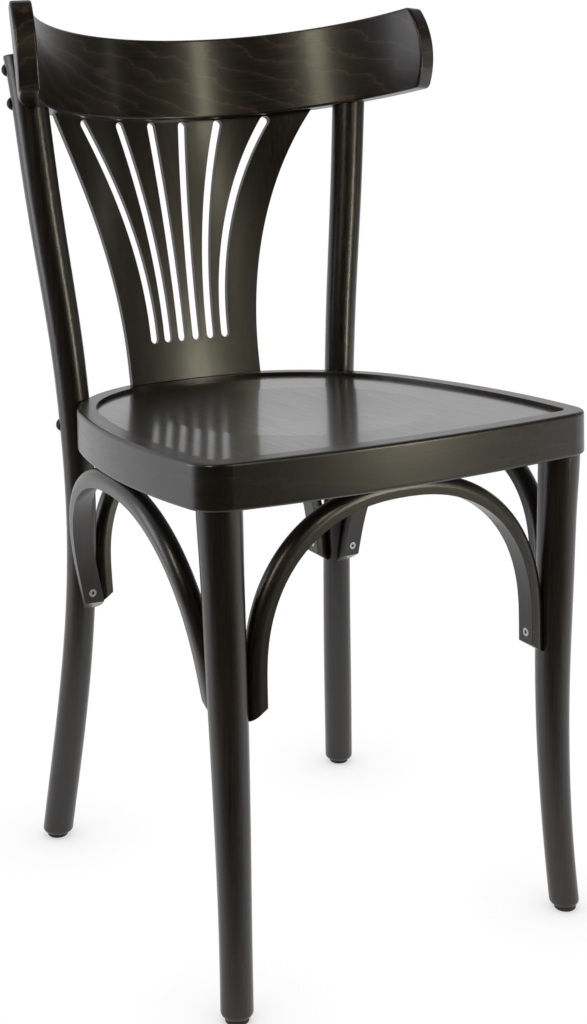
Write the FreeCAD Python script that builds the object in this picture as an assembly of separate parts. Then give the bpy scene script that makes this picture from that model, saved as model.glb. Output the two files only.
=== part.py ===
import FreeCAD, Part
import math
import os
from FreeCAD import Placement, Rotation, Vector

# A bentwood bistro chair: round bent legs, a bent seat ring with a plywood panel, a wide bent crest
# rail, a fan splat and four bracket arches. Millimetres, +Z up, the sitter faces -Y. The origin is
# on the floor, under the middle of the chair. Left and right are as seen from the front.

# Seat ring and panel; the seat's own frame starts at the middle of the rim's front edge
seat_front_height = 465.5
seat_front_y = -246.7
seat_rake = 2.24
front_bow_radius = 1310.0
front_bow_turn = 7.7
front_corner_radius = 30.5
front_corner_turn = 75.8
side_bow_radius = 673.0
side_bow_turn = 21.6
rear_corner_radius = 176.0
rear_corner_share = 0.85
ring_height = 39.2
ring_width = 46.0
ring_opening_corner = 14.0
rim_width = 18.0
rim_rise = 3.5
rim_round = 3.0
panel_thickness = 9.0
panel_clearance = 0.2
dish_radius = 125.0
dish_depth = 2.5
dish_centre_back = 198.0

# Front legs: they lean in a little, then sweep out to the feet below the knee
front_leg_heading = 32.0
front_leg_inset = 4.0
front_leg_top_diameter = 37.2
front_leg_knee_diameter = 33.2
front_leg_foot_diameter = 27.4
front_leg_knee_height = 256.0
front_leg_ankle_height = 73.0
front_leg_lean_in = 13.2
front_leg_lean_forward = 8.6
front_foot_sweep_out = 11.6
front_foot_sweep_forward = 14.3
tenon_diameter = 22.0
tenon_length = 24.0

# Back legs: one stick each, notched at the ring, and half lapped behind the rail
back_leg_bearing = 41.3
leg_notch = 4.7
back_leg_foot_diameter = 29.6
back_leg_waist_diameter = 28.9
back_leg_seat_diameter = 31.0
back_leg_root_diameter = 31.6
back_leg_top_diameter = 35.2
back_foot_out = 16.1
back_foot_back = 22.7
back_shin_height = 154.0
back_shin_out = 2.8
back_shin_back = 6.3
back_waist_height = 296.0
back_waist_in = 3.6
back_waist_forward = 2.2
back_root_rise = 52.0
back_root_out = 3.5
back_root_back = 3.8
post_bearing = 52.3
post_stand = 1.2
post_top_level = 11.7
post_top_round = 2.0

# Crest rail: part of a tilted cylinder; levels on it count from its middle height
rail_axis_y = 8.4
rail_axis_height = 805.3
rail_tilt = 12.55
rail_inner_radius = 217.1
rail_thickness = 20.0
rail_height = 85.0
rail_half_turn = 76.9
rail_blank_spare = 1.5
rail_end_radius = 85.0
rail_corner_radius = 7.0
rail_edge_round = 2.5

# Fan splat: a thin curved board that fans out from the rim to the rail
splat_thickness = 6.0
splat_foot_depth = 10.0
splat_head_depth = 9.0
splat_head_setback = 10.0
splat_rim_lip = 4.3
splat_foot_curve_radius = 340.0
splat_blank_half_turn = 60.0
splat_foot_half_width = 75.0
splat_head_half_width = 153.5
splat_waist_rise = 14.0
slot_width = 9.8
slot_foot_rise = 44.0
slot_head_gap = 6.0
slot_foot_offsets = [8.4, 25.0, 41.5]
slot_head_offsets = [18.3, 57.5, 105.5]

# Arches: a D section, flat inside, whose crown runs under the ring and whose limbs lie on the legs
arch_width = 19.0
arch_flank = 6.5
arch_spring_height = 276.0
arch_limb_length = 22.0
arch_end_slant = 33.0
arch_squareness = 2.3
arch_crown_press = 0.5
arch_stand = 15.8
front_arch_lean = 5.7
side_arch_lean = 30.4
side_arch_front_shift = 1.7
side_arch_back_shift = 2.8
back_arch_lean = 19.7

# Fasteners and glides
bolt_diameter = 6.0
bolt_head_diameter = 13.4
bolt_head_height = 5.4
bolt_head_seat = 1.5
rail_bolt_levels = [-34.0, -2.0]
insert_diameter = 10.0
insert_length = 12.0
insert_sink = 0.3
washer_diameter = 16.0
washer_thickness = 1.5
washer_seat = 0.4
nut_across_flats = 10.0
nut_height = 5.0
bolt_tip = 2.0
screw_diameter = 4.0
screw_head_diameter = 7.6
screw_head_rim = 0.6
screw_head_depth = 2.6
screw_socket_across_flats = 3.0
screw_socket_depth = 2.0
arch_end_screw_rise = 10.0
arch_end_screw_bite = 10.0
arch_crown_screw_spread = 35.0
arch_crown_screw_bite = 18.0
arch_crown_screw_sink = 0.8
glide_diameter = 20.0
glide_height = 4.5
glide_chamfer = 0.8
foot_round = 4.0
nail_diameter = 2.4
nail_head_diameter = 6.0
nail_head_height = 1.0
nail_cover = 1.5
nail_length = 18.0

# Worked out from the sizes above
rail_outer_radius = rail_inner_radius + rail_thickness
arch_depth = arch_flank + arch_width / 2
arch_end_height = arch_spring_height - arch_limb_length
panel_underside = -(rim_rise + panel_thickness)
seat_place = Placement(Vector(0, seat_front_y, seat_front_height), Rotation(Vector(1, 0, 0), -seat_rake))
rail_place = Placement(Vector(0, rail_axis_y, rail_axis_height), Rotation(Vector(1, 0, 0), -rail_tilt))
up = Vector(0, 0, 1)
plenty = 1000.0
stick_overshoot = 0.1
same_level = 0.001


def put(shape, place):
    """The shape, moved from its own frame to the chair's frame."""
    moved = shape.copy()
    moved.Placement = place.multiply(moved.Placement)
    return moved


def aim(shape, point, direction):
    """A shape made along +Z, moved to a point and turned to a direction."""
    return put(shape, Placement(point, Rotation(up, direction)))


def mirrored(shape):
    """The same shape on the other side of the chair."""
    return shape.mirror(Vector(0, 0, 0), Vector(1, 0, 0))


def both_sides(shapes):
    return shapes + [mirrored(shape) for shape in shapes]


def turned(edges):
    """A full turn about Z of a closed outline in the XZ plane."""
    return Part.Face(Part.Wire(edges)).revolve(Vector(0, 0, 0), up, 360)


def line(start, end):
    return Part.LineSegment(start, end).toShape()


def arc(start, middle, end):
    return Part.Arc(start, middle, end).toShape()


def loop(points):
    """A closed outline of straight edges."""
    return [line(a, b) for a, b in zip(points, points[1:] + points[:1])]


def hexagon(across_flats, bottom, height):
    corner = across_flats / math.sqrt(3)
    points = [Vector(corner * math.cos(a), corner * math.sin(a), bottom) for a in
              [math.radians(60 * k) for k in range(6)]]
    return Part.Face(Part.Wire(loop(points))).extrude(Vector(0, 0, height))


def smooth_curve(points):
    curve = Part.BSplineCurve()
    curve.interpolate(points)
    return curve


def tapered_stick(points, diameters):
    """A round stick along a smooth curve through points, with a diameter at each of them."""
    curve = smooth_curve(points)
    rings = []
    for point, diameter in zip(points, diameters):
        along = curve.tangent(curve.parameter(point))[0]
        rings.append(aim(Part.Wire(Part.makeCircle(diameter / 2)), point, along))
    return Part.makeLoft(rings, True, False)


# The seat outline's right half, as arcs that meet smoothly: centre, radius, start heading and turn
def seat_arcs():
    turns = [front_bow_turn, front_corner_turn, side_bow_turn]
    rest = 180 - sum(turns)
    turns += [rear_corner_share * rest, (1 - rear_corner_share) * rest]
    radii = [front_bow_radius, front_corner_radius, side_bow_radius, rear_corner_radius]
    arcs = []
    x, y, heading = 0.0, 0.0, 0.0
    for k, turn in enumerate(turns):
        a = math.radians(heading)
        b = math.radians(heading + turn)
        radius = radii[k] if k < len(radii) else x / math.sin(a)
        centre = Vector(x - radius * math.sin(a), y + radius * math.cos(a), 0)
        arcs.append((centre, radius, a, b))
        x = centre.x + radius * math.sin(b)
        y = centre.y - radius * math.cos(b)
        heading += turn
    return arcs


front_arc, corner_arc, side_arc, rear_corner_arc, rear_arc = seat_arcs()


def on_arc(one_arc, share, inset=0.0):
    """A point at a share of an arc of the seat outline, moved inwards by inset."""
    centre, radius, a, b = one_arc
    heading = a + share * (b - a)
    reach = radius - inset
    return centre + Vector(reach * math.sin(heading), -reach * math.cos(heading), 0)


def seat_outline():
    edges = []
    for one_arc in [front_arc, corner_arc, side_arc, rear_corner_arc, rear_arc]:
        edges.append(arc(on_arc(one_arc, 0), on_arc(one_arc, 0.5), on_arc(one_arc, 1)))
    return Part.Wire(Part.__sortEdges__(both_sides(edges)))


outline = Part.Face(seat_outline())


def inner_face(inset):
    return Part.Face(outline.makeOffset2D(-inset, 2).Wires[0])


def seat_slab(face, top, bottom):
    """A plate of the seat's outline between two levels of the seat's own frame."""
    slab = face.copy()
    slab.translate(Vector(0, 0, top))
    return slab.extrude(Vector(0, 0, bottom - top))


def edges_at(shape, height):
    """The edges of a shape that lie wholly at one height."""
    return [e for e in shape.Edges if all(abs(p.z - height) < same_level for p in e.discretize(5))]


def ring_opening():
    """The hole inside the ring, with its front corners rounded."""
    core = inner_face(ring_width + ring_opening_corner)
    return Part.Face(core.makeOffset2D(ring_opening_corner, 0).Wires[0])


# Seat ring with its rebate, before it is bored
def plain_ring():
    ring = seat_slab(outline, 0, -ring_height)
    ring = ring.makeFillet(rim_round, edges_at(ring, 0) + edges_at(ring, -ring_height))
    ring = ring.cut(seat_slab(inner_face(rim_width), rim_round, panel_underside))
    return ring.cut(seat_slab(ring_opening(), 0, -ring_height - rim_round))


def seat_panel():
    panel = seat_slab(inner_face(rim_width + panel_clearance), -rim_rise, panel_underside)
    ball = (dish_radius ** 2 + dish_depth ** 2) / (2 * dish_depth)
    dish = Part.makeSphere(ball, Vector(0, dish_centre_back, ball - dish_depth - rim_rise))
    return panel.cut(dish)


# Front legs: the right leg's axis at the ring's underside, in the seat's own frame
leg_heading = math.radians(front_leg_heading)
leg_reach = front_corner_radius - front_leg_inset - front_leg_top_diameter / 2
front_leg_seat = corner_arc[0] + Vector(math.sin(leg_heading), -math.cos(leg_heading), 0) * leg_reach
front_leg_top = seat_place.multVec(front_leg_seat - Vector(0, 0, ring_height))


def front_leg_axis(height):
    """The right front leg's axis at a height."""
    fallen = 1 - height / front_leg_top.z
    swept = max(0.0, 1 - height / front_leg_knee_height) ** 2
    x = front_leg_top.x - front_leg_lean_in * fallen + front_foot_sweep_out * swept
    y = front_leg_top.y - front_leg_lean_forward * fallen - front_foot_sweep_forward * swept
    return Vector(x, y, height)


def front_leg_diameter(height):
    if height > front_leg_knee_height:
        share = (height - front_leg_knee_height) / (front_leg_top.z - front_leg_knee_height)
        return front_leg_knee_diameter + share * (front_leg_top_diameter - front_leg_knee_diameter)
    slim = min(1.0, (front_leg_knee_height - height) / (front_leg_knee_height - front_leg_ankle_height))
    return front_leg_knee_diameter + slim * (front_leg_foot_diameter - front_leg_knee_diameter)


def big_block(bottom):
    """A block wider than the chair, upwards from a level."""
    return Part.makeBox(plenty, plenty, plenty, Vector(-plenty / 2, -plenty / 2, bottom))


above_ring_bottom = put(big_block(-ring_height), seat_place)
below_glides = big_block(glide_height - plenty)


def front_leg():
    rise = (front_leg_top.z - front_leg_knee_height) * (1 + stick_overshoot)
    heights = [front_leg_knee_height * k / 5 for k in range(-1, 6)]
    heights += [front_leg_knee_height + rise * k / 3 for k in (1, 2, 3)]
    stick = tapered_stick([front_leg_axis(h) for h in heights], [front_leg_diameter(h) for h in heights])
    stick = stick.cut(above_ring_bottom).cut(below_glides)
    stick = stick.makeFillet(foot_round, edges_at(stick, glide_height))
    return stick.fuse(tenon())


def tenon():
    peg = Part.makeCylinder(tenon_diameter / 2, tenon_length, front_leg_seat - Vector(0, 0, ring_height))
    return put(peg, seat_place)


# Back legs: where the right one meets the ring, in the seat's own frame
bearing = math.radians(back_leg_bearing)
leg_outward = Vector(math.cos(bearing), math.sin(bearing), 0)
back_leg_seat_reach = rear_corner_radius + back_leg_seat_diameter / 2 - leg_notch
back_leg_seat = rear_corner_arc[0] + leg_outward * back_leg_seat_reach - up * (ring_height / 2)
back_leg_joint = seat_place.multVec(back_leg_seat)
back_leg_root = back_leg_joint + Vector(back_root_out, back_root_back, back_root_rise)


def rail_point(radius, degrees_round, level):
    """A point in the rail's own frame: radius from its axis, bearing from its middle, level."""
    a = math.radians(degrees_round)
    return Vector(radius * math.sin(a), radius * math.cos(a), level)


post_top = rail_place.multVec(rail_point(rail_outer_radius + post_stand, post_bearing, post_top_level))


def back_leg_offset(out, back, height):
    return Vector(back_leg_joint.x + out, back_leg_joint.y + back, height)


back_leg_foot = back_leg_offset(back_foot_out, back_foot_back, glide_height)


def back_leg_points():
    shin = back_leg_offset(back_shin_out, back_shin_back, back_shin_height)
    waist = back_leg_offset(-back_waist_in, -back_waist_forward, back_waist_height)
    below = back_leg_foot + (back_leg_foot - shin) * stick_overshoot
    post = post_top - back_leg_root
    points = [below, back_leg_foot, shin, waist, back_leg_joint, back_leg_root]
    return points + [back_leg_root + post * (k / 3) for k in (1, 2, 3)]


def back_leg_curve():
    return smooth_curve(back_leg_points())


def back_leg():
    points = back_leg_points()
    swell = back_leg_top_diameter - back_leg_root_diameter
    diameters = [back_leg_foot_diameter] * 3 + [back_leg_waist_diameter, back_leg_seat_diameter]
    diameters += [back_leg_root_diameter + swell * k / 3 for k in range(4)]
    stick = tapered_stick(points, diameters).cut(below_glides)
    stick = stick.makeFillet(foot_round, edges_at(stick, glide_height))
    stick = stick.makeFillet(post_top_round, [max(stick.Edges, key=lambda e: e.BoundBox.ZMin)])
    lap = Part.makeCylinder(rail_outer_radius, rail_height, Vector(0, 0, -rail_height / 2))
    notch = seat_slab(outline, 0, -ring_height)
    return stick.cut(put(lap, rail_place)).cut(put(notch, seat_place))


# Crest rail, in its own frame
def rail_end_waste():
    """What is cut away round the rail's right end: a bowed end with rounded corners."""
    half = rail_height / 2
    corner_level = half - rail_corner_radius
    bow_radius = rail_end_radius - rail_corner_radius
    corner_back = math.sqrt(bow_radius ** 2 - corner_level ** 2) - rail_end_radius
    lean = math.atan2(corner_level, corner_back + rail_end_radius)
    a = math.radians(rail_half_turn)
    out = Vector(math.sin(a), math.cos(a), 0)
    along = Vector(math.cos(a), -math.sin(a), 0)
    start = out * (rail_inner_radius - rail_thickness)

    def spot(reach, level):
        return start + along * reach + up * level

    def on_corner(angle, side):
        reach = corner_back + rail_corner_radius * math.cos(angle)
        return spot(reach, side * (corner_level + rail_corner_radius * math.sin(angle)))

    def corner(side):
        return [on_corner(angle, side) for angle in (math.pi / 2, (math.pi / 2 + lean) / 2, lean)]

    top = corner(1)
    bottom = corner(-1)[::-1]
    outside = [spot(corner_back, -rail_height), spot(rail_height, -rail_height),
               spot(rail_height, rail_height), spot(corner_back, rail_height)]
    edges = [arc(*top), arc(top[2], spot(0, 0), bottom[0]), arc(*bottom)]
    edges += [line(a, b) for a, b in zip([bottom[2]] + outside, outside + [top[0]])]
    return Part.Face(Part.Wire(edges)).extrude(out * (3 * rail_thickness))


def plain_rail():
    blank = rail_half_turn + rail_blank_spare
    low = -rail_height / 2
    inner = [rail_point(rail_inner_radius, d, low) for d in (-blank, 0, blank)]
    outer = [rail_point(rail_outer_radius, d, low) for d in (-blank, 0, blank)]
    edges = [arc(*inner), line(inner[2], outer[2]), arc(*outer[::-1]), line(outer[0], inner[0])]
    band = Part.Face(Part.Wire(edges)).extrude(Vector(0, 0, rail_height))
    for waste in both_sides([rail_end_waste()]):
        band = band.cut(waste)
    broad = [f for f in band.Faces if isinstance(f.Surface, Part.Cylinder) and abs(f.Surface.Axis.z) > 0.9]
    return band.makeFillet(rail_edge_round, [e for f in broad for e in f.Edges])


# Fan splat, in the rail's own frame; it stands on the rim and is let into both
splat_rear = on_arc(rear_arc, 1, rim_width - splat_rim_lip)
splat_foot = rail_place.inverse().multVec(seat_place.multVec(splat_rear))
splat_foot_radius = splat_foot.y
splat_head_radius = rail_inner_radius + splat_head_setback
rail_underside = -rail_height / 2
splat_bottom = splat_foot.z - splat_foot_depth
splat_top = rail_underside + splat_head_depth


def splat_section(level, apex, radius):
    """The board's section at a level: two arcs about one centre, closed by its ends."""
    centre = Vector(0, apex - radius, level)
    a = math.radians(splat_blank_half_turn)

    def curved(reach):
        return [centre + Vector(reach * math.sin(b), reach * math.cos(b), 0) for b in (-a, 0, a)]

    front = curved(radius)
    back = curved(radius + splat_thickness)
    return Part.Wire([arc(*front), line(front[2], back[2]), arc(*back[::-1]), line(back[0], front[0])])


def upright(edges):
    """A prism through the board from an outline in its own XZ plane."""
    return Part.Face(Part.Wire(edges)).extrude(Vector(0, plenty, 0))


def outward_arc(foot_offset, head_offset, foot, head, inwards=0.0):
    """Three points of an arc that starts upright at its foot and bends outwards to its head."""
    across = head_offset - foot_offset
    climb = head - foot
    radius = (across ** 2 + climb ** 2) / (2 * across)
    turn = 2 * math.atan2(across, climb)
    centre = Vector(foot_offset + radius, 0, foot)
    reach = radius + inwards
    return [centre + Vector(-reach * math.cos(b), 0, reach * math.sin(b)) for b in (0, turn / 2, turn)]


def splat_outline():
    waist = splat_foot.z + splat_waist_rise
    right = [Vector(splat_foot_half_width, 0, splat_bottom)]
    right += outward_arc(splat_foot_half_width, splat_head_half_width, waist, splat_top)
    left = [Vector(-p.x, 0, p.z) for p in right]
    return [line(left[0], right[0]), line(right[0], right[1]), arc(*right[1:]), line(right[3], left[3]),
            arc(*left[:0:-1]), line(left[1], left[0])]


def slot(foot_offset, head_offset):
    """One slot: a band of even width that bends outwards, with round ends."""
    foot = splat_foot.z + slot_foot_rise
    head = rail_underside - slot_head_gap
    half = slot_width / 2
    inner = outward_arc(foot_offset, head_offset, foot, head, half)
    outer = outward_arc(foot_offset, head_offset, foot, head, -half)
    heel = Vector(foot_offset, 0, foot - half)
    tip = (inner[2] + outer[2] + (outer[2] - inner[2]).cross(Vector(0, 1, 0))) * 0.5
    return [arc(*inner), arc(inner[2], tip, outer[2]), arc(*outer[::-1]), arc(outer[0], heel, inner[0])]


def fan_splat():
    board = Part.makeLoft([splat_section(splat_bottom, splat_foot_radius, splat_foot_curve_radius),
                           splat_section(splat_top, splat_head_radius, splat_head_radius)], True, True)
    board = board.common(upright(splat_outline()))
    for one_slot in both_sides([upright(slot(f, h)) for f, h in zip(slot_foot_offsets, slot_head_offsets)]):
        board = board.cut(one_slot)
    return board


# Arches: each is bent in one plane, which leans out over its chord to bring the crown under the ring
def ring_underside(y):
    """The height of the ring's underside at a depth."""
    tilt = math.radians(seat_rake)
    return seat_front_height - (y - seat_front_y) * math.tan(tilt) - ring_height / math.cos(tilt)


def crown_height(arch, chord):
    """The height of the crown's flat face over a point of the chord."""
    return ring_underside((chord + arch["lean"]).y) - arch_depth + arch_crown_press


def arch_rise(arch):
    """The height from the limbs' ends to the crown over the middle of the chord."""
    return crown_height(arch, (arch["start"] + arch["end"]) * 0.5) - arch_end_height


def leaning(arch, chord, height):
    """The point over a point of the chord, at a height, in the arch's plane."""
    return chord + arch["lean"] * ((height - arch_end_height) / arch_rise(arch)) + up * height


def arch_point(arch, across, climb):
    """A point of the flat face's middle line: across is 1 to -1 from limb to limb, climb 0 to 1."""
    chord = arch["start"] * ((1 + across) / 2) + arch["end"] * ((1 - across) / 2)
    rise = crown_height(arch, chord) - arch_spring_height
    return leaning(arch, chord, arch_spring_height + rise * climb)


def arch_path(arch):
    """Up one limb, over the crown and down the other."""
    power = 2 / arch_squareness
    steps = 16
    low = arch_end_height - arch_depth
    heights = [low, (low + arch_spring_height) / 2]
    points = [leaning(arch, arch["start"], h) for h in heights]
    for k in range(steps + 1):
        angle = math.pi * k / steps
        across = math.copysign(abs(math.cos(angle)) ** power, math.cos(angle))
        points.append(arch_point(arch, across, abs(math.sin(angle)) ** power))
    return points + [leaning(arch, arch["end"], h) for h in heights[::-1]]


def arch_section(point, along, wide):
    """The D section at a point, square to the path, its flat side on the path."""
    deep = wide.cross(along)
    half = arch_width / 2

    def spot(across, depth):
        return point + wide * across + deep * depth

    def nose(degrees_round):
        a = math.radians(degrees_round)
        return spot(half * math.cos(a), arch_flank + half * math.sin(a))

    return Part.Wire([line(spot(-half, 0), spot(half, 0)), line(spot(half, 0), nose(0)),
                      arc(nose(0), nose(45), nose(90)), arc(nose(90), nose(135), nose(180)),
                      line(nose(180), spot(-half, 0))])


def arch_limbs(arch):
    """Where each limb stands on the chord, with the direction from there into the leg."""
    chord = (arch["end"] - arch["start"]).normalize()
    return [(arch["start"], chord * -1), (arch["end"], chord)]


def arch_waste(arch):
    """What is sawn off below the two slanted ends."""
    slant = math.radians(arch_end_slant)
    size = 4 * arch_width
    block = Part.makeBox(size, size, size, Vector(-size / 2, -size / 2, -size))
    return [aim(block, foot + up * arch_end_height, deep * math.sin(slant) + up * math.cos(slant))
            for foot, deep in arch_limbs(arch)]


def plain_arch(arch):
    path = arch_path(arch)
    plane_up = arch["lean"] + up * arch_rise(arch)
    wide = (arch["end"] - arch["start"]).cross(plane_up).normalize()
    curve = smooth_curve(path)
    sections = [arch_section(p, curve.tangent(curve.parameter(p))[0], wide) for p in path]
    bent = Part.makeLoft(sections, True, False)
    for waste in arch_waste(arch) + [above_ring_bottom]:
        bent = bent.cut(waste)
    return bent


def at_height(curve, height):
    """The point of a rising curve at a height."""
    low, high = curve.FirstParameter, curve.LastParameter
    for _ in range(40):
        half = (low + high) / 2
        low, high = (half, high) if curve.value(half).z < height else (low, half)
    return curve.value(low)


# Where the four arches start and end, in plan, with how far each crown leans out
arch_screw_height = arch_end_height + arch_end_screw_rise
front_leg_at_arch = front_leg_axis(arch_screw_height) - up * arch_screw_height
back_leg_at_arch = at_height(back_leg_curve(), arch_screw_height) - up * arch_screw_height
front_leg_reach = front_leg_diameter(arch_screw_height) / 2 + arch_stand
back_leg_reach = back_leg_waist_diameter / 2 + arch_stand
backwards = (back_leg_at_arch - front_leg_at_arch).normalize()


def flipped(point):
    return Vector(-point.x, point.y, point.z)


front_end = front_leg_at_arch - Vector(front_leg_reach, 0, 0)
side_start = front_leg_at_arch + backwards * front_leg_reach - Vector(side_arch_front_shift, 0, 0)
side_end = back_leg_at_arch - backwards * back_leg_reach - Vector(side_arch_back_shift, 0, 0)
back_start = back_leg_at_arch - Vector(back_leg_reach, 0, 0)
front_arch = {"start": flipped(front_end), "end": front_end, "lean": Vector(0, front_arch_lean, 0)}
right_arch = {"start": side_start, "end": side_end, "lean": Vector(side_arch_lean, 0, 0)}
back_arch = {"start": back_start, "end": flipped(back_start), "lean": Vector(0, back_arch_lean, 0)}


# Fasteners, each made with its head at the origin and its shank along -Z
def dome_bolt(length):
    rim = bolt_head_diameter / 2
    ball = (rim ** 2 + bolt_head_height ** 2) / (2 * bolt_head_height)
    lean = math.asin(rim / ball) / 2
    shoulder = Vector(ball * math.sin(lean), 0, bolt_head_height - ball + ball * math.cos(lean))
    shank = bolt_diameter / 2
    top = Vector(0, 0, bolt_head_height)
    down = [Vector(rim, 0, 0), Vector(shank, 0, 0), Vector(shank, 0, -length), Vector(0, 0, -length), top]
    return turned([arc(top, shoulder, down[0])] + [line(a, b) for a, b in zip(down, down[1:])])


def wood_screw(length):
    rim = screw_head_diameter / 2
    shank = screw_diameter / 2
    profile = [Vector(0, 0, 0), Vector(rim, 0, 0), Vector(rim, 0, -screw_head_rim),
               Vector(shank, 0, -screw_head_depth), Vector(shank, 0, shank - length), Vector(0, 0, -length)]
    socket = hexagon(screw_socket_across_flats, -screw_socket_depth, 2 * screw_socket_depth)
    return turned(loop(profile)).cut(socket)


def screw_bore(length):
    """The screw without its socket, to sink it into the wood."""
    rim = screw_head_diameter / 2
    shank = screw_diameter / 2
    above = screw_head_depth
    profile = [Vector(0, 0, above), Vector(rim, 0, above), Vector(rim, 0, -screw_head_rim),
               Vector(shank, 0, -screw_head_depth), Vector(shank, 0, shank - length), Vector(0, 0, -length)]
    return turned(loop(profile))


def arch_screw_places(arch):
    """Head point, outward direction and length of each screw at an arch's ends."""
    length = arch_stand + arch_end_screw_bite
    return [(leaning(arch, foot, arch_screw_height), deep * -1, length) for foot, deep in arch_limbs(arch)]


def crown_screw_places(arch):
    """The same for the two screws that hold its crown to the ring."""
    across = 2 * arch_crown_screw_spread / (arch["end"] - arch["start"]).Length
    climb = (1 - across ** arch_squareness) ** (1 / arch_squareness)
    into = seat_place.Rotation.multVec(up)
    sink = into * arch_crown_screw_sink
    length = arch_depth + arch_crown_screw_bite
    return [(arch_point(arch, side * across, climb) + sink, into * -1, length) for side in (1, -1)]


def at_places(maker, places):
    return [aim(maker(length), point, direction) for point, direction, length in places]


end_places = [arch_screw_places(a) for a in (front_arch, right_arch, back_arch)]
crown_places = [crown_screw_places(a) for a in (front_arch, right_arch, back_arch)]


def with_left_arch(maker, places):
    """Screws or bores at the places of the front, right and back arches, and of the left one."""
    front, right, back = [at_places(maker, p) for p in places]
    return front + both_sides(right) + back


arch_end_screws = with_left_arch(wood_screw, end_places)
arch_crown_screws = with_left_arch(wood_screw, crown_places)
arch_bores = with_left_arch(screw_bore, end_places) + with_left_arch(screw_bore, crown_places)


# Rail bolts and inserts, in the rail's own frame
def rail_fixings():
    inverse = rail_place.inverse()
    root = inverse.multVec(back_leg_root)
    top = inverse.multVec(post_top)
    bolts = []
    inserts = []
    for level in rail_bolt_levels:
        axis = root + (top - root) * ((level - root.z) / (top.z - root.z))
        outward = Vector(axis.x, axis.y, 0).normalize()
        seat = Vector(axis.x, axis.y, 0).Length + back_leg_top_diameter / 2 - bolt_head_seat
        deepest = rail_outer_radius - insert_sink - insert_length
        bolt = aim(dome_bolt(seat - deepest), outward * seat + up * level, outward)
        sleeve = Part.makeCylinder(insert_diameter / 2, insert_length)
        sleeve = aim(sleeve, outward * deepest + up * level, outward).cut(bolt)
        bolts.append(put(bolt, rail_place))
        inserts.append(put(sleeve, rail_place))
    return both_sides(bolts), both_sides(inserts)


# Back leg bolts, washers and nuts, in the seat's own frame
def seat_fixings():
    radius = back_leg_seat_diameter / 2
    grip = 2 * radius - bolt_head_seat - leg_notch + ring_width
    washer_top = grip - washer_seat
    nut_top = washer_top + washer_thickness
    centre = Vector(back_leg_seat.x, back_leg_seat.y, (panel_underside - ring_height) / 2)
    head = centre + leg_outward * (radius - bolt_head_seat)
    bolt = dome_bolt(nut_top + nut_height + bolt_tip)
    washer = Part.makeCylinder(washer_diameter / 2, washer_thickness, Vector(0, 0, -nut_top)).cut(bolt)
    nut = hexagon(nut_across_flats, -nut_top - nut_height, nut_height).cut(bolt)
    return [both_sides([put(aim(s, head, leg_outward), seat_place)]) for s in (bolt, washer, nut)]


# Glides: a pad under each foot, moulded round its nail's head
def glide_nail():
    head = Part.makeCylinder(nail_head_diameter / 2, nail_head_height, Vector(0, 0, nail_cover))
    return head.fuse(Part.makeCylinder(nail_diameter / 2, nail_length, Vector(0, 0, nail_cover)))


def glide_pad():
    pad = Part.makeCylinder(glide_diameter / 2, glide_height)
    return pad.makeChamfer(glide_chamfer, edges_at(pad, 0))


def cut_all(shape, tools):
    for tool in tools:
        shape = shape.cut(tool)
    return shape


# Assembly: every bore and housing is cut with the very piece that goes into it
def build():
    feet = [front_leg_axis(0), Vector(back_leg_foot.x, back_leg_foot.y, 0)]
    nails = both_sides([aim(glide_nail(), foot, up) for foot in feet])
    pads = both_sides([aim(glide_pad(), foot, up) for foot in feet])
    rail_bolts, rail_inserts = rail_fixings()
    leg_bolts, leg_washers, leg_nuts = seat_fixings()
    right_front, right_back = front_leg(), back_leg()
    legs = both_sides([right_front, right_back])
    splat = put(fan_splat(), rail_place)
    peg = tenon()

    ring = put(plain_ring(), seat_place)
    ring = cut_all(ring, [splat, peg, mirrored(peg)] + leg_bolts + leg_washers)
    ring = cut_all(ring, with_left_arch(screw_bore, crown_places))
    rail = cut_all(put(plain_rail(), rail_place), [splat] + rail_bolts + rail_inserts)
    right_front = cut_all(right_front, nails + with_left_arch(screw_bore, end_places))
    right_back = cut_all(right_back, nails + rail_bolts + leg_bolts + with_left_arch(screw_bore, end_places))
    arches = [plain_arch(a) for a in (front_arch, right_arch, back_arch)]
    front, side, back = [cut_all(arch, legs + arch_bores) for arch in arches]
    return {
        "left_front_leg": [mirrored(right_front)],
        "right_front_leg": [right_front],
        "left_back_leg": [mirrored(right_back)],
        "right_back_leg": [right_back],
        "seat_ring": [ring],
        "seat_panel": [put(seat_panel(), seat_place)],
        "crest_rail": [rail],
        "fan_splat": [splat],
        "front_arch": [front],
        "back_arch": [back],
        "left_arch": [mirrored(side)],
        "right_arch": [side],
        "rail_bolts": rail_bolts,
        "rail_inserts": rail_inserts,
        "back_leg_bolts": leg_bolts,
        "back_leg_washers": leg_washers,
        "back_leg_nuts": leg_nuts,
        "arch_end_screws": arch_end_screws,
        "arch_crown_screws": arch_crown_screws,
        "glide_pads": [cut_all(pad, nails) for pad in pads],
        "glide_nails": nails,
    }


os.makedirs("parts", exist_ok=True)
for name, shapes in build().items():
    solids = [solid for shape in shapes for solid in shape.Solids]
    whole = solids[0] if len(solids) == 1 else Part.makeCompound(solids)
    whole.exportStep("parts/" + name + ".step")
    print(name, len(solids), "solids,", round(whole.Volume / 1000, 2), "cm3")
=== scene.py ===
import math
import bpy
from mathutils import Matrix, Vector


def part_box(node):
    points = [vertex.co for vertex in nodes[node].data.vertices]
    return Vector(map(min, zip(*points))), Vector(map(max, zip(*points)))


# Bentwood bistro chair in dark stained beech: the looks, lights and camera. Metres, the sitter faces -Y.

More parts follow.
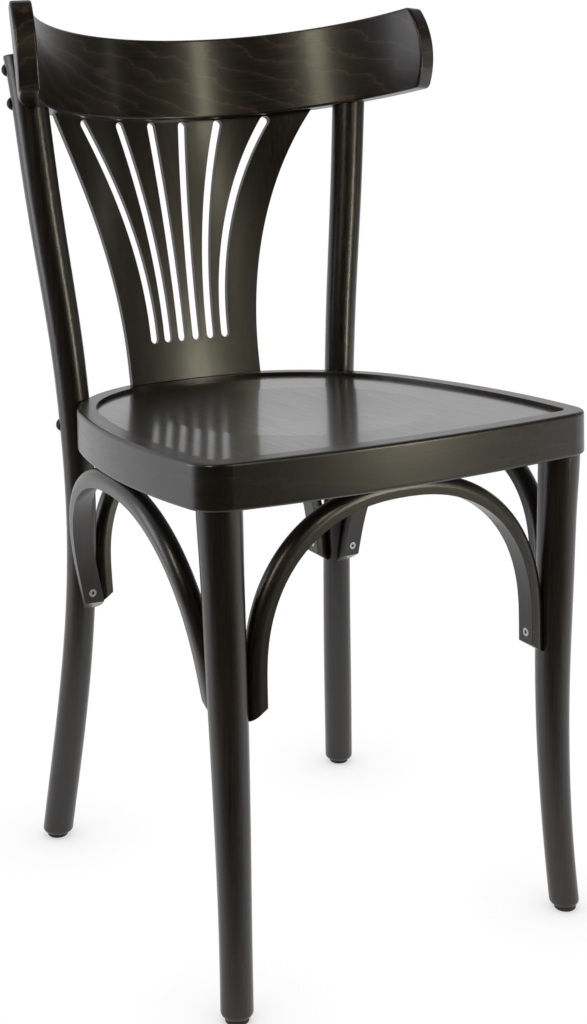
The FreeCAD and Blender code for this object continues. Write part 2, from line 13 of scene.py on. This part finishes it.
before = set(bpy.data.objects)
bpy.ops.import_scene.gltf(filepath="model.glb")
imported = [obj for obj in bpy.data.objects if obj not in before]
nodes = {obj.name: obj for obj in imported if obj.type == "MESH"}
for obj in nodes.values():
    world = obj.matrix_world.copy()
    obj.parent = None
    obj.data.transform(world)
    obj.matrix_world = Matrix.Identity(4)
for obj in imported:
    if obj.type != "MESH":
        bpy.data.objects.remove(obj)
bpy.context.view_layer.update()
print("frame loaded,", len(nodes), "nodes")


def linearColour(hexText):
    parts = [int(hexText[k:k + 2], 16) / 255 for k in (1, 3, 5)]
    return [p / 12.92 if p <= 0.04045 else ((p + 0.055) / 1.055) ** 2.4 for p in parts] + [1.0]


def addNode(tree, kind, settings=None, **inputs):
    # an input is named with _ for a space, or _ and its number, and takes a value or another node's socket
    node = tree.nodes.new(kind)
    for key, value in (settings or {}).items():
        setattr(node, key, value)
    for key, value in inputs.items():
        socket = node.inputs[int(key[1:])] if key[0] == "_" else node.inputs[key.replace("_", " ")]
        if isinstance(value, bpy.types.NodeSocket):
            tree.links.new(value, socket)
        else:
            socket.default_value = value
    return node


def emptyMaterial(name):
    material = bpy.data.materials.new(name)
    material.use_nodes = True
    material.node_tree.nodes.clear()
    return material


def dress(names, material):
    for name in names:
        slots = nodes[name].data.materials
        slots.clear()
        slots.append(material)


# The grain's own space: X along the grain, Y across the face and Z into the wood.
# A bent piece has its X round the bend, whose radius is "bend".
def grainSpace(tree, grain):
    place = addNode(tree, "ShaderNodeTexCoord").outputs["Object"]
    local = addNode(tree, "ShaderNodeMapping", {"vector_type": "TEXTURE"}, Vector=place,
                    Location=grain["centre"], Rotation=[math.radians(a) for a in grain["turn"]])
    if not grain["bend"]:
        return local.outputs["Vector"]
    apart = addNode(tree, "ShaderNodeSeparateXYZ", Vector=local.outputs["Vector"])
    x, y, z = [apart.outputs[k] for k in range(3)]
    angle = addNode(tree, "ShaderNodeMath", {"operation": "ARCTAN2"}, _0=y, _1=x)
    along = addNode(tree, "ShaderNodeMath", {"operation": "MULTIPLY"}, _0=angle.outputs[0], _1=grain["bend"])
    squareX = addNode(tree, "ShaderNodeMath", {"operation": "MULTIPLY"}, _0=x, _1=x)
    square = addNode(tree, "ShaderNodeMath", {"operation": "MULTIPLY_ADD"}, _0=y, _1=y, _2=squareX.outputs[0])
    radius = addNode(tree, "ShaderNodeMath", {"operation": "SQRT"}, _0=square.outputs[0])
    joined = addNode(tree, "ShaderNodeCombineXYZ", X=along.outputs[0], Y=z, Z=radius.outputs[0])
    return joined.outputs["Vector"]


woodLook = {
    "dark": "#15110e",
    "mid": "#241c17",
    "warm": "#33251f",
    "line": "#574840",
    "endGrain": "#8d776c",        # sawn arch ends keep little stain
    "lineSpacing": 0.021,         # flat-cut beech: growth lines lie about 21 mm apart on a broad face
    "lineStops": ((0.45, "dark"), (0.8, "warm"), (0.92, "line"), (0.96, "warm")),
    "driftScale": (4, 20, 20),    # features per metre: the slow wander of the growth lines
    "wobbleScale": (22, 45, 45),
    "streakScale": (11, 420, 420),    # dark streaks, about 2 mm apart and 9 cm long
    "poreScale": (90, 1500, 1500),    # beech's pores are under 0.1 mm: drawn at 0.7 mm so that they show
    "poreDark": 0.6,
    "poreDepth": 0.0002,
    "edgeRound": 0.0009,          # sanded edges, just under a millimetre
    "ior": 1.5,
    "sawnFacing": -0.8,           # a face that looks down this much is an arch's sawn end
}


# Steam-bent beech, wenge stain under lacquer: near black, with fine streaks and thin reddish growth lines
def stainedWood(name, grain, gloss):
    material = emptyMaterial(name)
    tree = material.node_tree
    space = grainSpace(tree, grain)

    def grainNoise(scale, detail, roughness):
        stretched = addNode(tree, "ShaderNodeMapping", {"vector_type": "POINT"}, Vector=space, Scale=scale,
                            Location=grain["shift"])
        noise = addNode(tree, "ShaderNodeTexNoise", Vector=stretched.outputs["Vector"], Scale=1.0,
                        Detail=detail, Roughness=roughness)
        return noise.outputs["Fac"]

    drift = grainNoise(woodLook["driftScale"], 2.0, 0.5)
    wobble = grainNoise(woodLook["wobbleScale"], 3.0, 0.55)
    streaks = grainNoise(woodLook["streakScale"], 3.0, 0.6)
    pores = grainNoise(woodLook["poreScale"], 1.0, 0.5)

    # growth lines: even rows across the face, carried sideways by the drift and the wobble
    apart = addNode(tree, "ShaderNodeSeparateXYZ", Vector=space)
    sloped = addNode(tree, "ShaderNodeMath", {"operation": "MULTIPLY_ADD"}, _0=apart.outputs[0],
                     _1=grain["slope"], _2=apart.outputs[1])
    rows = addNode(tree, "ShaderNodeMath", {"operation": "DIVIDE"}, _0=sloped.outputs[0],
                   _1=woodLook["lineSpacing"])
    bowed = addNode(tree, "ShaderNodeMath", {"operation": "MULTIPLY_ADD"}, _0=drift, _1=grain["wander"],
                    _2=rows.outputs[0])
    wavy = addNode(tree, "ShaderNodeMath", {"operation": "MULTIPLY_ADD"}, _0=wobble, _1=grain["ripple"],
                   _2=bowed.outputs[0])
    row = addNode(tree, "ShaderNodeMath", {"operation": "FRACT"}, _0=wavy.outputs[0])
    ramp = addNode(tree, "ShaderNodeValToRGB", Fac=row.outputs[0])
    stops = ramp.color_ramp.elements
    for stop in stops:
        stop.color = linearColour(woodLook["mid"])
    for place, colour in woodLook["lineStops"]:
        stops.new(place).color = linearColour(woodLook[colour])

    # stain: two tones, then the growth lines as far as the piece shows them, then streaks and pores
    toned = addNode(tree, "ShaderNodeMapRange", Value=drift, From_Min=0.35, From_Max=0.65)
    plain = addNode(tree, "ShaderNodeMix", {"data_type": "RGBA"}, _0=toned.outputs[0],
                    _6=linearColour(woodLook["dark"]), _7=linearColour(woodLook["mid"]))
    figured = addNode(tree, "ShaderNodeMix", {"data_type": "RGBA"}, _0=grain["figure"],
                      _6=plain.outputs[2], _7=ramp.outputs["Color"])
    streaky = addNode(tree, "ShaderNodeMapRange", Value=streaks, From_Min=0.3, From_Max=0.7,
                      To_Min=1 - grain["streak"], To_Max=1 + grain["streak"])
    darkPores = addNode(tree, "ShaderNodeMapRange", Value=pores, From_Min=0.3, From_Max=0.45,
                        To_Min=woodLook["poreDark"], To_Max=1.0)
    shade = addNode(tree, "ShaderNodeMath", {"operation": "MULTIPLY"}, _0=streaky.outputs[0],
                    _1=darkPores.outputs[0])
    shaded = addNode(tree, "ShaderNodeMix", {"data_type": "RGBA", "blend_type": "MULTIPLY"}, _0=1.0,
                     _6=figured.outputs[2], _7=shade.outputs[0])
    colour = shaded.outputs[2]
    if grain.get("sawnBelow"):
        objectPlace = addNode(tree, "ShaderNodeTexCoord").outputs["Object"]
        normal = addNode(tree, "ShaderNodeNewGeometry").outputs["True Normal"]
        place = addNode(tree, "ShaderNodeSeparateXYZ", Vector=objectPlace)
        facing = addNode(tree, "ShaderNodeSeparateXYZ", Vector=normal)
        low = addNode(tree, "ShaderNodeMath", {"operation": "LESS_THAN"}, _0=place.outputs[2],
                      _1=grain["sawnBelow"])
        down = addNode(tree, "ShaderNodeMath", {"operation": "LESS_THAN"}, _0=facing.outputs[2],
                       _1=woodLook["sawnFacing"])
        sawn = addNode(tree, "ShaderNodeMath", {"operation": "MULTIPLY"}, _0=low.outputs[0],
                       _1=down.outputs[0])
        ends = addNode(tree, "ShaderNodeMix", {"data_type": "RGBA"}, _0=sawn.outputs[0], _6=colour,
                       _7=linearColour(woodLook["endGrain"]))
        colour = ends.outputs[2]

    rough = addNode(tree, "ShaderNodeMapRange", Value=streaks, From_Min=0.3, From_Max=0.7,
                    To_Min=gloss["roughness"] - 0.03, To_Max=gloss["roughness"] + 0.05)
    edge = addNode(tree, "ShaderNodeBevel", {"samples": 4}, Radius=woodLook["edgeRound"])
    bump = addNode(tree, "ShaderNodeBump", Strength=gloss["bump"], Distance=woodLook["poreDepth"],
                   Height=pores, Normal=edge.outputs["Normal"])
    shader = addNode(tree, "ShaderNodeBsdfPrincipled", Base_Color=colour, Roughness=rough.outputs[0],
                     IOR=woodLook["ior"], Coat_Weight=gloss["coat"], Coat_Roughness=gloss["coatRoughness"],
                     Normal=bump.outputs["Normal"], Coat_Normal=edge.outputs["Normal"])
    addNode(tree, "ShaderNodeOutputMaterial", Surface=shader.outputs["BSDF"])
    return material


# Lacquer: brushed satin on the frame, rubbed smoother on the seat
satin = {"roughness": 0.34, "coat": 0.4, "coatRoughness": 0.2, "bump": 0.2}
polished = {"roughness": 0.32, "coat": 0.8, "coatRoughness": 0.12, "bump": 0.05}


def middle(name):
    low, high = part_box(name)
    return (low + high) / 2


# What a piece's grain has unless it says otherwise: turn in degrees, bend radius in metres,
# slope of the growth lines, how far they wander and ripple, how strongly they and the streaks show
plainGrain = {"turn": (0, 0, 0), "bend": None, "slope": 0.0, "wander": 3.0, "ripple": 0.5, "figure": 0.12,
              "streak": 0.3, "shift": (0, 0, 0)}

legGrain = dict(plainGrain, turn=(0, 90, 0), figure=0.1, streak=0.75)
legShift = (3.1, 1.7)    # each leg is cut from another part of the board
for number, name in enumerate(["left_front_leg", "right_front_leg", "left_back_leg", "right_back_leg"]):
    grain = dict(legGrain, centre=middle(name), shift=(number * legShift[0], number * legShift[1], 0))
    dress([name], stainedWood("beechStick" + str(number), grain, satin))

ringGrain = dict(plainGrain, centre=middle("seat_ring"), bend=0.2, streak=0.35)
dress(["seat_ring"], stainedWood("beechRing", ringGrain, satin))

panelGrain = dict(plainGrain, centre=middle("seat_panel"), turn=(0, 0, 90), wander=4.0, figure=0.15,
                  streak=0.25)
dress(["seat_panel"], stainedWood("plywoodSeat", panelGrain, polished))

railGrain = dict(plainGrain, centre=Vector((0, 0.0084, 0.8053)), turn=(-12.55, 0, 0), bend=0.217,
                 slope=-0.38, ripple=1.6, figure=0.6, shift=(1.4, 0.3, 0))
dress(["crest_rail"], stainedWood("beechRail", railGrain, satin))

splatGrain = dict(plainGrain, centre=middle("fan_splat"), turn=(0, 90, 0), wander=5.0, shift=(2.0, 0, 0))
dress(["fan_splat"], stainedWood("plywoodSplat", splatGrain, satin))

archGrain = dict(plainGrain, bend=0.15, streak=0.6, sawnBelow=0.258)
archCentreRise = 0.02    # the bend's centre above the arch's feet
archTurns = {"front_arch": (90, 0, 0), "back_arch": (90, 0, 0), "left_arch": (90, 0, 90),
             "right_arch": (90, 0, 90)}
for name, turn in archTurns.items():
    low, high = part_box(name)
    centre = Vector(((low.x + high.x) / 2, (low.y + high.y) / 2, low.z + archCentreRise))
    grain = dict(archGrain, centre=centre, turn=turn, shift=(len(name), 0, 0))
    dress([name], stainedWood("beech_" + name, grain, satin))
print("wood dressed")


# Plain steel and brass fastenings: bright zinc, or blackened where they show on the dark wood
def fasteningMetal(name, hexText, roughness):
    material = emptyMaterial(name)
    tree = material.node_tree
    shader = addNode(tree, "ShaderNodeBsdfPrincipled", Base_Color=linearColour(hexText), Metallic=1.0,
                     Roughness=roughness)
    addNode(tree, "ShaderNodeOutputMaterial", Surface=shader.outputs["BSDF"])
    return material


dress(["rail_bolts", "back_leg_bolts"], fasteningMetal("blackenedBolt", "#2a2826", 0.35))
dress(["arch_end_screws", "arch_crown_screws"], fasteningMetal("zincScrew", "#b9b9b4", 0.3))
dress(["back_leg_washers", "back_leg_nuts", "glide_nails"], fasteningMetal("zincWasher", "#a9a9a4", 0.4))
dress(["rail_inserts"], fasteningMetal("brassInsert", "#b58d4a", 0.4))


# Moulded nylon glides: dark brown and dull
def glideNylon(name, hexText, roughness):
    material = emptyMaterial(name)
    tree = material.node_tree
    shader = addNode(tree, "ShaderNodeBsdfPrincipled", Base_Color=linearColour(hexText), Roughness=roughness)
    addNode(tree, "ShaderNodeOutputMaterial", Surface=shader.outputs["BSDF"])
    return material


dress(["glide_pads"], glideNylon("brownGlide", "#26211e", 0.55))
print("fastenings and glides dressed")


# Floor: white to the camera with a painted shadow round the feet, where ambient occlusion dims its white
# glow, and grey to other light. In the gloss of the wood it is grey before the chair and turns white beside
# and behind it, as a paper sweep laid there would.
floorLook = {"size": 12.0, "bounce": "#5f5d5e", "paintedShadowReach": 0.09, "shade": 0.62, "sheetSlant": 0.6,
             "sheetFrom": -0.8, "sheetTo": -0.35, "sheet": 0.9}
bpy.ops.object.select_all(action="DESELECT")
bpy.ops.mesh.primitive_plane_add(size=floorLook["size"], location=(0, 0, 0))
floor = bpy.context.object
floor.name = "studio_floor"
whiteFloor = emptyMaterial("whiteFloor")
tree = whiteFloor.node_tree
path = addNode(tree, "ShaderNodeLightPath")
matt = addNode(tree, "ShaderNodeBsdfDiffuse", Color=linearColour(floorLook["bounce"]))
# painted shadow: occlusion near the feet lowers the strength of the floor's white glow to the camera
contact = addNode(tree, "ShaderNodeAmbientOcclusion", {"samples": 8}, Distance=floorLook["paintedShadowReach"])
paintedShadowStrength = addNode(tree, "ShaderNodeMapRange", Value=contact.outputs["AO"], From_Min=0.3, From_Max=0.95,
                To_Min=floorLook["shade"], To_Max=1.0)
white = addNode(tree, "ShaderNodeEmission", Color=(1, 1, 1, 1), Strength=paintedShadowStrength.outputs[0])
spot = addNode(tree, "ShaderNodeSeparateXYZ", Vector=addNode(tree, "ShaderNodeTexCoord").outputs["Object"])
away = addNode(tree, "ShaderNodeMath", {"operation": "MULTIPLY_ADD"}, _0=spot.outputs[0],
               _1=floorLook["sheetSlant"], _2=spot.outputs[1])
sheet = addNode(tree, "ShaderNodeMapRange", Value=away.outputs[0], From_Min=floorLook["sheetFrom"],
                From_Max=floorLook["sheetTo"], To_Min=0.0, To_Max=floorLook["sheet"])
mirrored = addNode(tree, "ShaderNodeMath", {"operation": "MULTIPLY"}, _0=path.outputs["Is Glossy Ray"],
                   _1=sheet.outputs[0])
seen = addNode(tree, "ShaderNodeMath", {"operation": "MAXIMUM"}, _0=path.outputs["Is Camera Ray"],
               _1=mirrored.outputs[0])
mix = addNode(tree, "ShaderNodeMixShader", _0=seen.outputs[0], _1=matt.outputs[0], _2=white.outputs[0])
addNode(tree, "ShaderNodeOutputMaterial", Surface=mix.outputs[0])
floor.data.materials.append(whiteFloor)

# Room: white to the camera, dim before the chair and bright behind it
roomLook = {"from": -0.2, "to": 0.6, "dim": 0.015, "bright": 0.75}
world = bpy.data.worlds.new("studioWorld")
bpy.context.scene.world = world
world.use_nodes = True
world.node_tree.nodes.clear()
tree = world.node_tree
path = addNode(tree, "ShaderNodeLightPath")
outward = addNode(tree, "ShaderNodeTexCoord").outputs["Generated"]
heading = addNode(tree, "ShaderNodeSeparateXYZ", Vector=outward)
behind = addNode(tree, "ShaderNodeMapRange", Value=heading.outputs[1], From_Min=roomLook["from"],
                 From_Max=roomLook["to"], To_Min=roomLook["dim"], To_Max=roomLook["bright"])
room = addNode(tree, "ShaderNodeBackground", Color=(1, 1, 1, 1), Strength=behind.outputs[0])
white = addNode(tree, "ShaderNodeBackground", Color=(1, 1, 1, 1), Strength=1.0)
mix = addNode(tree, "ShaderNodeMixShader", _0=path.outputs["Is Camera Ray"], _1=room.outputs[0],
              _2=white.outputs[0])
addNode(tree, "ShaderNodeOutputWorld", Surface=mix.outputs[0])
print("floor and room made")

# Soft boxes: azimuth in degrees from straight before the chair towards +X, distance and height in metres
aimPoint = Vector((0, 0, 0.5))
softBoxes = {
    "rightLow": {"azimuth": 28, "height": 0.6, "distance": 1.75, "size": (0.28, 0.7), "power": 7.5,
                 "tint": "#fff9dc"},
    "right": {"azimuth": 68, "height": 0.9, "distance": 2.2, "size": (0.2, 1.6), "power": 1.5,
              "tint": "#fffbe6"},
    "front": {"azimuth": 9, "height": 1.95, "distance": 2.5, "size": (0.3, 0.8), "power": 8.5,
              "tint": "#fff8d8"},
    "leftFront": {"azimuth": -60, "height": 1.9, "distance": 2.3, "size": (0.4, 1.0), "power": 12,
                  "tint": "#fff8d8"},
    "left": {"azimuth": -116, "height": 0.6, "distance": 2.2, "size": (1.0, 1.3), "power": 11,
             "tint": "#fbf9ff"},
    "top": {"azimuth": 180, "height": 2.6, "distance": 0.5, "size": (1.6, 1.6), "power": 3,
            "tint": "#ffffff"},
}
for name, box in softBoxes.items():
    azimuth = math.radians(box["azimuth"])
    data = bpy.data.lights.new(name, "AREA")
    data.shape = "RECTANGLE"
    data.size, data.size_y = box["size"]
    data.energy = box["power"]
    data.color = linearColour(box["tint"])[:3]
    lamp = bpy.data.objects.new(name, data)
    bpy.context.scene.collection.objects.link(lamp)
    lamp.location = (box["distance"] * math.sin(azimuth), -box["distance"] * math.cos(azimuth), box["height"])
    lamp.rotation_euler = (lamp.location - aimPoint).to_track_quat("Z", "Y").to_euler()

# Camera where the photograph was taken: before the chair and to one side, looking a little down.
# Heading and pitch in degrees, lens in millimetres on a 36 mm sensor.
view = {"place": (-0.7876, -1.3323, 0.7779), "heading": 31.327, "pitch": 6.822, "lens": 57.65, "sensor": 36.0,
        "shift": -0.249}
data = bpy.data.cameras.new("photoCamera")
data.lens = view["lens"]
data.sensor_width = view["sensor"]
data.shift_y = view["shift"]
camera = bpy.data.objects.new("photoCamera", data)
bpy.context.scene.collection.objects.link(camera)
camera.location = view["place"]
camera.rotation_euler = (math.radians(90 - view["pitch"]), 0, math.radians(-view["heading"]))
bpy.context.scene.camera = camera
bpy.context.scene.view_settings.view_transform = "Standard"
print("lights and camera placed")
